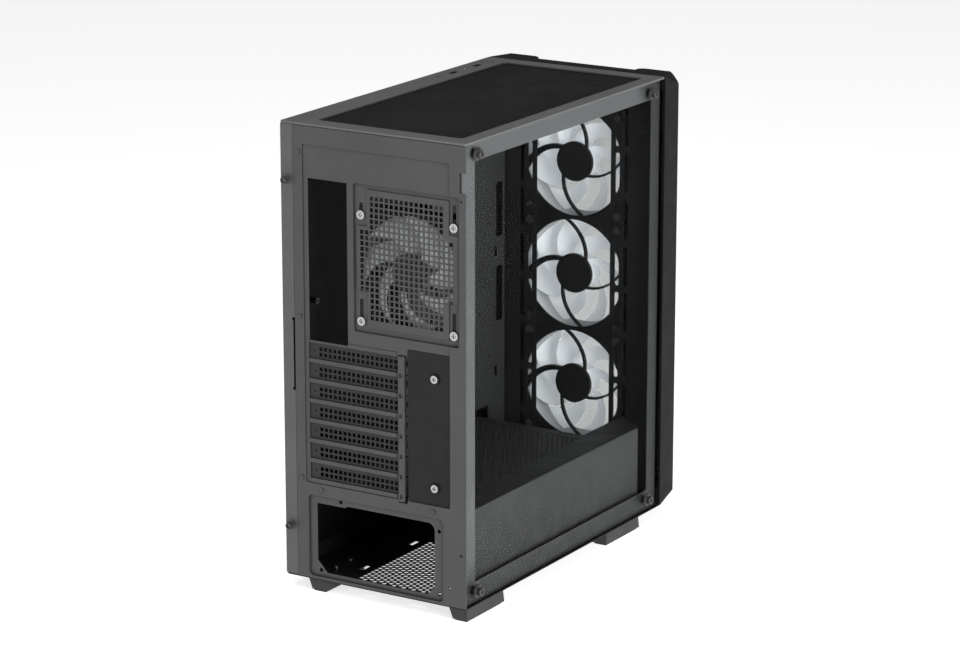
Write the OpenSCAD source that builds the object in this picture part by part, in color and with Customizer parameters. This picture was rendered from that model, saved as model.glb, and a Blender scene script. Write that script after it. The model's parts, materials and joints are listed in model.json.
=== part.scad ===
// Desktop computer tower: an empty mid-tower case with a clear side window,
// three intake fans behind a mesh front, one exhaust fan and seven expansion slots.
// The rear panel's outer face is y = 0 while drawing, the front faces -Y, the
// window faces -X and the steel body's underside is z = 0. place() then moves
// the whole case so that its origin is the middle of its bounding box, on the floor.

/* [Case] */
// Width across the window and the cable-side panel
case_w = 210; // [205:1:256]
// Height of the case body without its feet
case_h = 459; // [452:1:560]
// Depth of the steel body, rear face to front panel seam
body_d = 383.5; // [375:0.5:470]
// Depth of the front panel ahead of the seam
front_d = 33; // [31:0.5:45]
// Height of the feet, pads included
foot_h = 13; // [9:0.5:25]
// Thickness of the sheet steel
sheet_t = 1; // [0.6:0.1:1.2]
// Thickness of the top cover
top_t = 2; // [1.5:0.1:3]

/* [Window and side panels] */
// Thickness of the window
glass_t = 4; // [3:0.1:5]
// Gap between a removable panel and the frame behind it
seat_gap = 0.3; // [0.2:0.05:0.6]
// Width of the frame rails round the window opening
rail_w = 22; // [16:1:28]
// Distance of the window screws from the window's edges
glass_screw_inset = 14; // [11:0.5:20]
// Radius of the rubber washers under the window screws
washer_r = 7; // [6:0.1:9]
// How far the window screws stand out of the glass
screw_proud = 6; // [4:0.1:9]
// Width of the cable-side panel's flange on the rear face
wrap_w = 14.2; // [11:0.1:20]
// How far the rear thumbscrews stand out
rear_proud = 8; // [6:0.1:12]
// Space for cables between the board tray and the cable-side panel
cable_space = 26; // [22:0.5:32]

/* [Fans] */
// Side of a square fan frame
fan_size = 120; // [110:1:120]
// Depth of a fan frame
fan_d = 25; // [20:0.5:26]
// Spacing of a fan's screw holes
fan_hole_pitch = 105; // [96:0.5:105]
// Radius swept by the blade tips
blade_r = 56.5; // [48:0.5:57]
// Gap between the blade tips and the fan frame
tip_gap = 1.5; // [1:0.1:2.5]
// Radius of the fan hub
hub_r = 21; // [17:0.5:24]
// Number of blades
blades = 7; // [5:1:9]
// Radius of a fan shaft
shaft_r = 1.5; // [1.2:0.05:2]
// Height of the lowest intake fan's centre
low_fan_z = 119; // [112:1:125]
// Number of intake fans
intake_fans = 3; // [3:1:3]

/* [Rear panel] */
// Pitch of the expansion slots
slot_pitch = 20.32; // [20.32:0.01:20.32]
// Height of the lowest slot's lower edge
slots_z = 102.5; // [101:0.5:106]
// Length of a slot window
slot_len = 103.5; // [98:0.5:106]
// Width of the board's connector opening
io_w = 45.5; // [44.5:0.1:48]
// Height of the board's connector opening
io_h = 161; // [159:0.5:164]
// Height of the exhaust fan's centre
exhaust_z = 324; // [322:1:330]
// Side of the square vent holes
vent_hole = 4.1; // [3:0.1:4.3]
// Pitch of the square vent holes
vent_pitch = 5.6; // [5.2:0.1:6.5]
// Width of a power supply
psu_w = 150; // [150:1:150]
// Height of a power supply
psu_h = 86; // [86:1:86]
// Radius of a power supply screw hole
psu_hole_r = 2; // [1.8:0.05:2.3]

/* [Inside] */
// Height of the top of the power supply shroud
shroud_z = 93; // [92:0.5:96]
// Depth of the power supply shroud's top, which leaves room for a front radiator
shroud_d = 297; // [270:1:320]
// Height of a board standoff
standoff_h = 6.5; // [5:0.1:10]
// Radius of a standoff's threaded hole
standoff_hole_r = 1.5; // [1.4:0.05:1.7]

/* [Hidden] */

$fn = 48;
over = 1;                       // how far a cut runs past a face
fit = 0.3;                      // clearance round a piece that lifts out
half_w = case_w / 2;
slots = 7;

// Heights
cover_gap = 0.6;                // dark joint under the top cover
cover_z = case_h - top_t;       // underside of the top cover
plate_z = cover_z - cover_gap;  // top of the steel body
frame_top = plate_z - sheet_t;  // underside of the body's top sheet

// Across the case, from the window to the cable side
frame_x = -half_w + glass_t + seat_gap;
panel_in_x = half_w - sheet_t;
cable_frame_x = panel_in_x - 0.5;
seam_x = half_w - wrap_w;
tray_x = half_w - cable_space;
io_x1 = tray_x - 4;
io_x0 = io_x1 - io_w;
slot_x1 = tray_x - 3.5;
slot_x0 = slot_x1 - slot_len;
exhaust_x = io_x0 - 67.5;
psu_x = tray_x - 83;
psu_z = 4 + psu_h / 2;

// Along the case, from the rear to the front
back_y = -sheet_t;              // inner face of the rear panel's edge
wall_out_y = -body_d + 2;       // front face of the fan wall
wall_in_y = wall_out_y + sheet_t;
front_y = -body_d - front_d;
shift_x = screw_proud / 2;
shift_y = (body_d + front_d - rear_proud) / 2;

// Depths of the pressed fields in the rear panel
field_depth = 1;
fan_depth = 3;
psu_depth = 2.4;
access_depth = 2.2;
grille_raise = 1;
exhaust_y = -fan_depth - sheet_t;       // rear face of the exhaust fan

// Rear panel fields
field = [exhaust_x - 48.8, slots_z - 3, tray_x + 1.1, exhaust_z + 114.6];
fan_field = [exhaust_x - 59.5, exhaust_z - 63.3, exhaust_x + 60.5, exhaust_z + 83];
slots_top = slots_z + slots * slot_pitch;
bar_h = 4;
strip_x1 = slot_x0;
strip_x0 = strip_x1 - 10.5;
access = [strip_x0 - 48.5, slots_z - 2.5, strip_x0, slots_top + 7];
psu_field = [psu_x - 75, 3.5, psu_x + 81.9, psu_z + 40.4];
psu_cut = [psu_x - 64, 7.9, psu_x + 73.2, psu_z + 34];
psu_holes = [[69, -37], [-69, -37], [-69, 27], [45, 37]];
access_screws = [[strip_x0 - 31, slots_top - 18.5], [strip_x0 - 31, slots_z + 14.7]];
notch_z = 421;
notch_h = 19.5;

// Fans
fan_hole_r = 2.15;
fan_gap = 0.2;
flange_t = 4;
fan_zs = [for (i = [0:intake_fans - 1]) low_fan_z + i * fan_size];
bearing_gap = 0.05;
hub_plate_t = 4;
sleeve_r = 4;

// Rear screws and rivets: [x, z]
rivets = [[tray_x + 5.5, 430.5], [tray_x + 5.8, 267], [tray_x + 6, 103.5],
    [psu_x + 65.6, shroud_z + 0.8], [psu_x - 63.9, shroud_z + 0.5]];

// Front panel
front_wall_t = 2.5;
seam_gap = 1.5;
mesh_recess = 7.5;
pillar_in_x = 60;
pillar_edge_x = 72;
mesh_t = 0.8;
pin_r = 3;
head_h = 15;
lip_h = 16;
pin_zs = [32, 432];
pin_x = half_w - 10;

// Top controls, their places along the case and their line across it
io_line_x = tray_x + 12;
led_y = -248;
reset_y = -264;
usb_ys = [-290, -336];
jack_y = -312;
power_y = -358;
power_r = 6.3;
reset_r = 4;
button_gap = 0.3;
board_drop = 16;
filter_area = [-half_w + 16, -body_d + 17.5, tray_x - 3.5, -19.5];

// Feet: [x, y] of the window-side, front corner
foot_w = 21;
foot_len = 69;
foot_slant = 4.5;
foot_screw_x = 13.5;
foot_screw_ys = [6, 32];
pad_t = 1.5;
foot_window_x = -half_w;
foot_cable_x = half_w - 46;
foot_rear_y = -2 - foot_len;
foot_front_y = -body_d + 42;

// ---- shared shapes ----

module place() translate([shift_x, shift_y, foot_h]) children();

// Box between two corners
module block(lo, hi) translate(lo) cube(hi - lo);

// Outline in the (x, z) plane, extruded from y_face towards the front
module slab_y(y_face, t) translate([0, y_face, 0]) rotate([90, 0, 0]) linear_extrude(t) children();

// Outline in the (y, z) plane, extruded from x_face towards +X
module slab_x(x_face, t) translate([x_face, 0, 0]) rotate([90, 0, 90]) linear_extrude(t) children();

// Points of a rectangle [x0, y0, x1, y1] with rounded corners, counter-clockwise
function arc(cx, cy, r, from, to, steps = 6) =
    [for (i = [0:steps]) let (a = from + (to - from) * i / steps) [cx + r * cos(a), cy + r * sin(a)]];
function rounded(b, r, steps = 6) = concat(
    arc(b[0] + r, b[1] + r, r, 180, 270, steps), arc(b[2] - r, b[1] + r, r, 270, 360, steps),
    arc(b[2] - r, b[3] - r, r, 0, 90, steps), arc(b[0] + r, b[3] - r, r, 90, 180, steps));
module rounded_y(b, r, y_face, t) slab_y(y_face, t) polygon(rounded(b, r));
module rounded_x(b, r, x_face, t) slab_x(x_face, t) polygon(rounded(b, r));

// Round rod along Y or X, centred on (x, z) or (y, z)
module rod_y(x, z, y0, y1, r) translate([x, y0, z]) rotate([-90, 0, 0]) cylinder(h = y1 - y0, r = r);
module rod_x(y, z, x0, x1, r) translate([x0, y, z]) rotate([0, 90, 0]) cylinder(h = x1 - x0, r = r);

// Cross-head screw along +Y: head outside, shank inside
module cross_screw_y(x, z, y_face, head_r, head_t, shank_r, shank_l) difference() {
    union() {
        rod_y(x, z, y_face, y_face + head_t, head_r);
        rod_y(x, z, y_face - shank_l, y_face + over / 2, shank_r);
    }
    for (turn = [0, 90])
        translate([x, y_face + head_t, z]) rotate([0, turn, 0])
            cube([head_r * 1.1, head_t * 1.1, head_r * 0.3], center = true);
}

// ---- rear panel ----

module pressed_field(b, depth, r = 3) rounded_y([b[0] - sheet_t, b[1] - sheet_t,
    b[2] + sheet_t, b[3] + sheet_t], r + sheet_t, 0, depth + sheet_t);
module field_void(b, depth, r = 3) rounded_y(b, r, over, depth + over);

module rear_panel() color("#4c4d4f") place() difference() {
    union() {
        block([-half_w, -sheet_t, sheet_t], [seam_x, 0, plate_z]);
        pressed_field(field, field_depth, 1.5);
        pressed_field(fan_field, fan_depth);
        pressed_field(psu_field, psu_depth, 5);
        pressed_field(access, access_depth);
    }
    difference() {
        field_void(field, field_depth, 1.5);
        for (i = [0:slots]) slot_bar(i);
    }
    field_void(fan_field, fan_depth);
    field_void(psu_field, psu_depth, 5);
    field_void(access, access_depth);
    block([io_x0, -8, slots_top], [io_x1, over, slots_top + io_h]);
    for (i = [0:slots - 1]) slot_window(i);
    block([strip_x0, -8, slots_z - 6], [strip_x1, over, slots_top]);
    block([access[0] + 25, -8, access[1] + 8], [strip_x0 - 4, over, access[3] - 8]);
    slab_y(over, 8) psu_outline();
    for (h = psu_holes) rod_y(psu_x + h[0], psu_z + h[1], -8, over, psu_hole_r);
    grille_outline_cut();
    for (sx = [-1, 1], sz = [-1, 1]) exhaust_screw_slot(sx, sz);
    for (s = access_screws) rod_y(s[0], s[1], -8, over, 1.8);
    for (p = rivets) rod_y(p[0], p[1], -8, over, 1.2);
    for (p = [[-half_w + 19, 19.7], [-half_w + 5.6, 54.2], [-half_w + 4.7, 403.1]])
        rod_y(p[0], p[1], -8, over, 1.3);
    block([-half_w - over, -8, notch_z - notch_h / 2], [-half_w + 7, over, notch_z + notch_h / 2]);
}

// Rounded bar under slot i, standing a little out of the field
module slot_bar(i) let (z = slots_z + i * slot_pitch)
    block([slot_x0 + 2, -field_depth - over, z - bar_h / 2], [slot_x1, -field_depth + 0.6, z + bar_h / 2]);
module slot_window(i) let (z = slots_z + i * slot_pitch)
    block([slot_x0 - over, -8, z + bar_h / 2], [slot_x1, over, z + slot_pitch - bar_h / 2]);

// Power supply cut-out: chamfered lower corners, rounded upper corner
module psu_outline() polygon(concat(
    [[psu_cut[0], psu_cut[1] + 9], [psu_cut[0] + 8, psu_cut[1]], [psu_cut[2] - 11, psu_cut[1]],
        [psu_cut[2], psu_cut[1] + 12], [psu_cut[2], psu_cut[3] - 2], [psu_cut[2] - 33, psu_cut[3] - 2],
        [psu_cut[2] - 36, psu_cut[3]]],
    arc(psu_cut[0] + 8, psu_cut[3] - 8, 8, 90, 180)));

// Vent plate over the exhaust fan, with bulges beside the screws
grille = [exhaust_x - 47, exhaust_z - 57.3, exhaust_x + 45.2, exhaust_z + 78];
bulge_z = [exhaust_z - 22, exhaust_z + 45];
bulge_x = [exhaust_x - 58, exhaust_x + 57];
module grille_shape(b = 0) polygon([
    [grille[0] - b, grille[1] - b], [grille[2] + b, grille[1] - b],
    [grille[2] + b, bulge_z[0] - b], [bulge_x[1] + b, bulge_z[0] - b],
    [bulge_x[1] + b, bulge_z[1] - 3 + b], [grille[2] + b, bulge_z[1] - 3 + b],
    [grille[2] + b, grille[3] + b], [grille[0] - b, grille[3] + b],
    [grille[0] - b, bulge_z[1] + b], [bulge_x[0] - b, bulge_z[1] + b],
    [bulge_x[0] - b, bulge_z[0] - b], [grille[0] - b, bulge_z[0] - b]]);
module grille_outline_cut() slab_y(over, fan_depth + sheet_t + 2 * over) grille_shape(-2);

vent_cols = 15;
vent_rows = 22;
bulge_rows = 11;
vent_x = exhaust_x + 40;
vent_top = exhaust_z + 71.8;
module vent_square(x, z) block([x - vent_hole / 2, exhaust_y - over, z - vent_hole / 2],
    [x + vent_hole / 2, over, z + vent_hole / 2]);
module rear_fan_grille() color("#454648") place() difference() {
    slab_y(-fan_depth + grille_raise, grille_raise) grille_shape();
    for (c = [0:vent_cols - 1], r = [0:vent_rows - 1])
        vent_square(vent_x - c * vent_pitch, vent_top - vent_hole / 2 - r * vent_pitch);
    for (c = [-2, -1, vent_cols, vent_cols + 1], r = [6:6 + bulge_rows - 1])
        vent_square(vent_x - c * vent_pitch, vent_top - vent_hole / 2 - r * vent_pitch);
}

// Slot above each exhaust fan screw, ending in the screw's own seat
exhaust_screws = [for (sx = [-1, 1], sz = [-1, 1])
    [exhaust_x + sx * fan_hole_pitch / 2, exhaust_z + sz * fan_hole_pitch / 2]];
module exhaust_screw_slot(sx, sz) let (x = exhaust_x + sx * fan_hole_pitch / 2,
    z = exhaust_z + sz * fan_hole_pitch / 2) union() {
    rod_y(x, z, -8, over, 2.2);
    block([x - 2.1, -8, z], [x + 2.1, over, z + (sx > 0 && sz > 0 ? 12 : 22)]);
}

module rear_fan_screws() color("#b4b4b2") place()
    for (s = exhaust_screws)
        cross_screw_y(s[0], s[1], -fan_depth, 4.4, 1.6, 1.9, 11);

// ---- expansion slots ----

cover_y = -field_depth - sheet_t;       // rear face of the slot covers
cover_h = slot_pitch - 1.4;
tab_x = strip_x0 + 3.5;
ledge_d = 10;
ledge_y = -access_depth - sheet_t;
slot_screw_y = cover_y - sheet_t - 5;
function slot_mid(i) = slots_z + (i + 0.5) * slot_pitch;

module slot_cover(number) let (z = slot_mid(slots - number)) color("#47484a") place() difference() {
    union() {
        block([tab_x, cover_y - sheet_t, z - cover_h / 2], [slot_x1 + 2, cover_y, z + cover_h / 2]);
        block([tab_x - sheet_t, cover_y - sheet_t - ledge_d, z - cover_h / 2],
            [tab_x, cover_y, z + cover_h / 2]);
    }
    for (c = [0:16], r = [-1, 0])
        block([slot_x0 + 1.6 + c * 5.42, -20, z + 0.2 + r * vent_pitch],
            [slot_x0 + 5.6 + c * 5.42, over, z + 4 + r * vent_pitch]);
    rod_y(slot_x1 - 6.5, z, -20, over, 0.9);
    rod_x(slot_screw_y, z, tab_x - over - sheet_t, tab_x + over, 1.9);
}
module slot_cover_1() slot_cover(1);
module slot_cover_2() slot_cover(2);
module slot_cover_3() slot_cover(3);
module slot_cover_4() slot_cover(4);
module slot_cover_5() slot_cover(5);
module slot_cover_6() slot_cover(6);
module slot_cover_7() slot_cover(7);

module slot_cover_screws() color("#a8a8a6") place()
    for (i = [0:slots - 1]) {
        rod_x(slot_screw_y, slot_mid(i), tab_x - sheet_t, tab_x + 4, 1.6);
        rod_x(slot_screw_y, slot_mid(i), tab_x - sheet_t - 2.2, tab_x - sheet_t, 3.1);
    }

// Flange that the covers' bent tabs are screwed to
module slot_ledge() color("#3c3d3f") place() difference() {
    union() {
        block([tab_x, cover_y - sheet_t - ledge_d, slots_z - 8], [tab_x + sheet_t, ledge_y, slots_top + 9]);
        for (z = [slots_z - 8, slots_top + 3])
            block([tab_x - 14, ledge_y - sheet_t, z], [tab_x + sheet_t, ledge_y, z + 6]);
    }
    for (i = [0:slots - 1]) rod_x(slot_screw_y, slot_mid(i), tab_x - over, tab_x + 2 * over, 1.7);
}

// Strip that keeps the covers' ends down, with a notch at each bar
module slot_clamp_strip() color("#515254") place() difference() {
    block([tab_x, cover_y, slots_z - 5], [strip_x1 - fit, cover_y + 1.8, slots_top - 1]);
    for (i = [0:slots])
        block([tab_x + 2.2, cover_y + 0.8, slots_z + i * slot_pitch - 2],
            [strip_x1 - 1.4, over, slots_z + i * slot_pitch + 2]);
}

collar_r = 5.2;
access_head_r = 3.9;
module slot_access_cover() color("#3f4042") place() difference() {
    union() {
        rounded_y([access[0] + fit, access[1] + fit, access[2] - fit, access[3] - fit], 3,
            -access_depth + sheet_t, sheet_t);
        for (s = access_screws) rod_y(s[0], s[1], -access_depth, -access_depth + sheet_t + 1.4, collar_r);
    }
    for (s = access_screws) {
        rod_y(s[0], s[1], -8, over, 1.9);
        rod_y(s[0], s[1], -access_depth + sheet_t, over, access_head_r + 0.2);
    }
}
module access_cover_screws() color("#b0b0ae") place()
    for (s = access_screws)
        cross_screw_y(s[0], s[1], -access_depth + sheet_t, access_head_r, 2, 1.5, 5.5);

module frame_rivets() color("#2c2d2f") place()
    for (p = rivets) {
        rod_y(p[0], p[1], -4.2, 0, 1.1);
        rod_y(p[0], p[1], 0, 0.9, 2.3);
    }

// ---- steel body ----

// Frame ring in the (y, z) plane, with holes for panel screws
module side_ring(x_face, y_rear, y_front, rear_w, front_w, rail) difference() {
    slab_x(x_face, sheet_t) polygon(rounded([y_front, sheet_t, y_rear, frame_top], 1));
    rounded_x([y_front + front_w, sheet_t + rail, y_rear - rear_w, frame_top - rail + 4], 2,
        x_face - over, sheet_t + 2 * over);
}
window_screws = [for (y = [-20, -body_d + 27], z = [glass_screw_inset, cover_z - glass_screw_inset + 3]) [y, z]];
module window_frame() color("#5f6062") place() difference() {
    side_ring(frame_x, back_y, wall_in_y, rail_w, 17.5, rail_w - 1);
    for (s = window_screws) rod_x(s[0], s[1], frame_x - over, frame_x + 2 * over, 2.3);
}
// Ring behind the cable-side panel, with the rear lip that its screws enter
module cable_side_frame() color("#3f4042") place() difference() {
    union() {
        side_ring(cable_frame_x - sheet_t, -4.5, wall_in_y, 12, 17.5, rail_w - 6);
        difference() {
            block([seam_x - 6, -4.5, sheet_t], [cable_frame_x, -3.5, frame_top]);
            for (z = panel_screw_zs) rod_y(panel_screw_x, z, -8, over, 2);
        }
    }
    for (p = rivets) rod_y(p[0], p[1], -8, over, 1.2);
}
panel_screw_x = half_w - 7.7;
panel_screw_zs = [52.5, 402];

// Floor with the power supply vent, its clip slots and the feet's screw holes
floor_vent = [psu_x - 66, -152, psu_x + 37, -24];
floor_pitch = 6.6;
floor_hole_r = 3;
clip_slots = [[psu_x + 13, -16, psu_x + 28, -11], [psu_x - 43, -16, psu_x - 27, -11],
    [psu_x + 48, -60, psu_x + 53, -45], [psu_x + 48, -150, psu_x + 53, -136]];
module bottom_pan() color("#2b2c2e") place() difference() {
    block([-half_w, -body_d, 0], [panel_in_x - seat_gap, 0, sheet_t]);
    for (c = [0:floor((floor_vent[2] - floor_vent[0]) / floor_pitch / sin(60))],
            r = [0:floor((floor_vent[3] - floor_vent[1]) / floor_pitch)])
        translate([floor_vent[0] + c * floor_pitch * sin(60), floor_vent[1] + (r + (c % 2) / 2) * floor_pitch, -over])
            cylinder(h = sheet_t + 2 * over, r = floor_hole_r, $fn = 6);
    for (b = clip_slots) block([b[0], b[1], -over], [b[2], b[3], sheet_t + over]);
    for (f = foot_screw_points) translate([f[0], f[1], -over]) cylinder(h = sheet_t + 2 * over, r = 2.2);
}

// Top sheet with three fan openings and their screw slots
top_fan_ys = [for (i = [0:2]) -78 - i * fan_size];
top_fan_x = -7;
module top_frame() color("#2b2c2e") place() difference() {
    block([frame_x, wall_in_y, frame_top], [cable_frame_x, back_y, plate_z]);
    for (y = top_fan_ys) translate([top_fan_x, y, frame_top - over]) cylinder(h = sheet_t + 2 * over, r = blade_r - 1);
    for (y = top_fan_ys, dy = [-1, 1], sx = [-1, 1])
        translate([top_fan_x + sx * fan_hole_pitch / 2 - 2, y + dy * 36 - 14, frame_top - over])
            cube([4, 28, sheet_t + 2 * over]);
    block([io_line_x - 9, power_y - 14, frame_top - over], [io_line_x + 9, led_y + 8, plate_z + over]);
}

// Cover over the top sheet: a border round the filter, holes for the controls
module top_cover() color("#515254") place() difference() {
    union() {
        rounded_plate([-half_w, -body_d, half_w, 0], 1.5, cover_z, top_t);
        block([-half_w + 12, -body_d + 12, plate_z], [half_w - 12, -12, cover_z]);
    }
    rounded_plate([filter_area[0], filter_area[1], filter_area[2], filter_area[3]], 4,
        plate_z - over, top_t + cover_gap + 2 * over);
    for (y = usb_ys) block([io_line_x - 3.2, y - 6.8, plate_z - over], [io_line_x + 3.2, y + 6.8, case_h + over]);
    translate([io_line_x, jack_y, plate_z - over]) cylinder(h = 8, r = 3.7);
    translate([io_line_x, led_y, plate_z - over]) cylinder(h = 8, r = 1.6);
    translate([io_line_x, power_y, plate_z - over]) cylinder(h = 8, r = power_r + button_gap);
    translate([io_line_x, reset_y, plate_z - over]) cylinder(h = 8, r = reset_r + button_gap);
}
module rounded_plate(b, r, z, t) translate([0, 0, z]) linear_extrude(t) polygon(rounded(b, r));

// Magnetic dust filter: a thin sheet in a rim, lying on the top sheet
module top_filter() color("#232425") place() {
    b = [filter_area[0] + fit, filter_area[1] + fit, filter_area[2] - fit, filter_area[3] - fit];
    difference() {
        rounded_plate(b, 4, plate_z, 1.8);
        rounded_plate([b[0] + 3, b[1] + 3, b[2] - 3, b[3] - 3], 3, plate_z - over, 4);
    }
    rounded_plate([b[0] + 2, b[1] + 2, b[2] - 2, b[3] - 2], 3, plate_z + 0.6, 0.7);
}

// Fan wall: a tall opening between two columns of screw slots on each side
slot_cols = [fan_hole_pitch / 2, fan_hole_pitch / 2 + 10];
wall_slot_pitch = 49.5;
wall_slot_len = 42.7;
wall_slot_z = low_fan_z - 84;
wall_slots = floor((frame_top - wall_slot_z) / wall_slot_pitch);
wall_open = [-44.5, low_fan_z - 57, 44.5, low_fan_z + intake_fans * fan_size - 63];
module front_wall() color("#28292b") place() difference() {
    block([frame_x, wall_out_y, sheet_t], [cable_frame_x, wall_in_y, frame_top]);
    rounded_y(wall_open, 3, wall_in_y + over, sheet_t + 2 * over);
    for (x = slot_cols, s = [-1, 1], i = [0:wall_slots - 1])
        let (z = wall_slot_z + i * wall_slot_pitch) slab_y(wall_in_y + over, sheet_t + 2 * over)
            polygon(rounded([s * x - 2.5, z, s * x + 2.5, z + wall_slot_len], 2.3, 2));
    for (s = [-1, 1], z = pin_zs) rod_y(s * pin_x, z, wall_out_y - over, wall_in_y + over, pin_r + fit);
}

// Plate that the board stands off, folded back to a strip for cables
tray_fold_y = -body_d + 36;
strip_x = tray_x + 6;
strip_top = case_h - board_drop - 6;
board_rows = [0, 124.46, 281.94];
board_cols = [0, 154.94, 227.33];
board_top_z = slots_top + io_h;
board_rear_y = -13;
module board_tray() color("#303133") place() difference() {
    union() {
        block([tray_x, tray_fold_y, shroud_z], [tray_x + sheet_t, -4.5, frame_top]);
        block([tray_x + sheet_t, tray_fold_y, shroud_z], [strip_x, tray_fold_y + sheet_t, strip_top]);
    }
    for (r = board_rows, c = board_cols)
        rod_x(board_rear_y - c, board_top_z - r, tray_x - over, tray_x + 2 * over, 1.8);
    rounded_x([-230, board_top_z - 150, -90, board_top_z - 30], 12, tray_x - over, sheet_t + 2 * over);
    for (y = [-60, -130, -200, -270]) rounded_x([y - 18, board_top_z + 12, y + 18, board_top_z + 26], 6,
        tray_x - over, sheet_t + 2 * over);
    for (p = [[5.5, 44], [5.5, 120], [5.5, 188], [25, 11], [25, 94], [25, 140]])
        rod_x(tray_fold_y + p[0], slots_z + p[1], tray_x - over, tray_x + 2, 1.4);
}
cable_slots = [[shroud_z + 86, shroud_z + 146], [shroud_z + 178, shroud_z + 237]];
module tray_cable_strip() color("#343537") place() difference() {
    block([strip_x - sheet_t, wall_in_y, sheet_t], [strip_x, tray_fold_y, strip_top]);
    for (s = cable_slots) rounded_x([tray_fold_y - 29, s[0], tray_fold_y - 16, s[1]], 3,
        strip_x - 2 * over, sheet_t + 3 * over);
    for (z = [shroud_z + 26, shroud_z + 157, shroud_z + 288])
        block([strip_x - sheet_t - over, tray_fold_y - 18, z], [strip_x + over, tray_fold_y - 13, z + 11]);
}

module board_standoffs() color("#b08d45") place()
    for (r = board_rows, c = board_cols) difference() {
        union() {
            rod_x(board_rear_y - c, board_top_z - r, tray_x - standoff_h, tray_x, 2.9);
            rod_x(board_rear_y - c, board_top_z - r, tray_x - over / 2, tray_x + 4, 1.7);
        }
        rod_x(board_rear_y - c, board_top_z - r, tray_x - standoff_h - over, tray_x - 1, standoff_hole_r);
    }

// Shroud over the power supply: a perforated top and a plain side
shroud_x = frame_x + sheet_t + 3;
shroud_side_y = -body_d + 32.5;
shroud_arm_x = shroud_x + 34.7;
shroud_vent = [shroud_x + 31, -shroud_d + 13, tray_x - 16, -22];
shroud_pitch = 10;
module psu_shroud_top() color("#38393b") place() difference() {
    translate([0, 0, shroud_z - sheet_t]) linear_extrude(sheet_t) polygon([
        [shroud_x, -psu_depth - 2.5], [shroud_x, shroud_side_y], [shroud_arm_x, wall_in_y],
        [shroud_arm_x, -shroud_d], [tray_x + sheet_t, -shroud_d], [tray_x + sheet_t, -psu_depth - 2.5]]);
    for (c = [0:floor((shroud_vent[2] - shroud_vent[0]) / shroud_pitch)],
            r = [0:floor((shroud_vent[3] - shroud_vent[1]) / shroud_pitch)])
        translate([shroud_vent[0] + (c + (r % 2) / 2) * shroud_pitch,
            shroud_vent[1] + r * shroud_pitch, shroud_z - sheet_t - over])
            cylinder(h = sheet_t + 2 * over, r = 3.6, $fn = 6);
}
module psu_shroud_side() color("#454648") place() {
    block([shroud_x, shroud_side_y, sheet_t], [shroud_x + sheet_t, -psu_depth - 2.5, shroud_z - sheet_t]);
    block([shroud_x + sheet_t, shroud_side_y, sheet_t],
        [shroud_x + 14, shroud_side_y + sheet_t, shroud_z - sheet_t]);
}

// Drive cage on the floor under the shroud, open to the cable side
cage = [psu_x - 42, shroud_side_y + 7, tray_x - 2, shroud_side_y + 113];
cage_h = 58;
tray_step = 27;
module drive_cage() color("#2b2c2e") place() {
    for (y = [cage[1], cage[3] - sheet_t])
        block([cage[0], y, sheet_t], [cage[2], y + sheet_t, cage_h]);
    block([cage[0], cage[1] + sheet_t, cage_h - sheet_t], [cage[2], cage[3] - sheet_t, cage_h]);
    block([cage[0], cage[1] + sheet_t, sheet_t], [cage[0] + sheet_t, cage[3] - sheet_t, cage_h - sheet_t]);
    for (y = [cage[1] + sheet_t, cage[3] - sheet_t - 3], i = [0, 1])
        block([cage[0] + sheet_t, y, 3 + i * tray_step], [cage[2], y + 3, 4.5 + i * tray_step]);
}
module drive_tray(i) color("#1d1e1f") place() let (z = 4.5 + i * tray_step) difference() {
    union() {
        block([cage[0] + 3, cage[1] + 2, z], [cage[2] + 2, cage[3] - 2, z + 8]);
        block([cage[2] - 2, cage[1] + 2, z], [cage[2] + 2, cage[3] - 2, z + 20]);
    }
    block([cage[0] + 3 - over, cage[1] + 5, z + 2], [cage[2] - 2, cage[3] - 5, z + 9]);
    block([cage[0] + 40, cage[1] + 25, z - over], [cage[2] - 30, cage[3] - 25, z + 3]);
    rounded_x([cage[1] + 30, z + 6, cage[3] - 30, z + 15], 3, cage[2] - 3, 6);
}
module drive_tray_lower() drive_tray(0);
module drive_tray_upper() drive_tray(1);

// ---- feet ----

foot_places = [[foot_window_x, foot_rear_y], [foot_cable_x, foot_rear_y],
    [foot_window_x, foot_front_y], [foot_cable_x, foot_front_y]];
foot_screw_points = [for (p = foot_places, dy = foot_screw_ys) [p[0] + foot_screw_x, p[1] + dy]];
module foot(p) color("#6a6b6d") place() difference() {
    translate([p[0], p[1] + foot_len, 0]) rotate([90, 0, 0]) linear_extrude(foot_len)
        polygon([[0, 0], [foot_w, 0], [foot_w - foot_slant, pad_t - foot_h], [0, pad_t - foot_h]]);
    translate([p[0] - over, p[1], -foot_h]) rotate([-11, 0, 0]) translate([0, -20, -10])
        cube([foot_w + 2 * over, 20, foot_h + 30]);
    for (dy = foot_screw_ys)
        translate([p[0] + foot_screw_x, p[1] + dy, -foot_h + 5]) cylinder(h = foot_h, r = 1.7);
}
module foot_rear_window() foot(foot_places[0]);
module foot_rear_cable() foot(foot_places[1]);
module foot_front_window() foot(foot_places[2]);
module foot_front_cable() foot(foot_places[3]);
module foot_pads() color("#1c1d1e") place()
    for (p = foot_places)
        block([p[0] + 1.5, p[1] + 4, -foot_h], [p[0] + foot_w - foot_slant - 1.5, p[1] + foot_len - 1.5, pad_t - foot_h]);
module foot_screws() color("#8f8f8d") place()
    for (f = foot_screw_points) {
        translate([f[0], f[1], sheet_t]) cylinder(h = 1.6, r = 3);
        translate([f[0], f[1], -6.5]) cylinder(h = 7, r = 1.6);
    }

// ---- fans, drawn with the axis on Z and the hub plate's outer face at z = 0 ----

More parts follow.
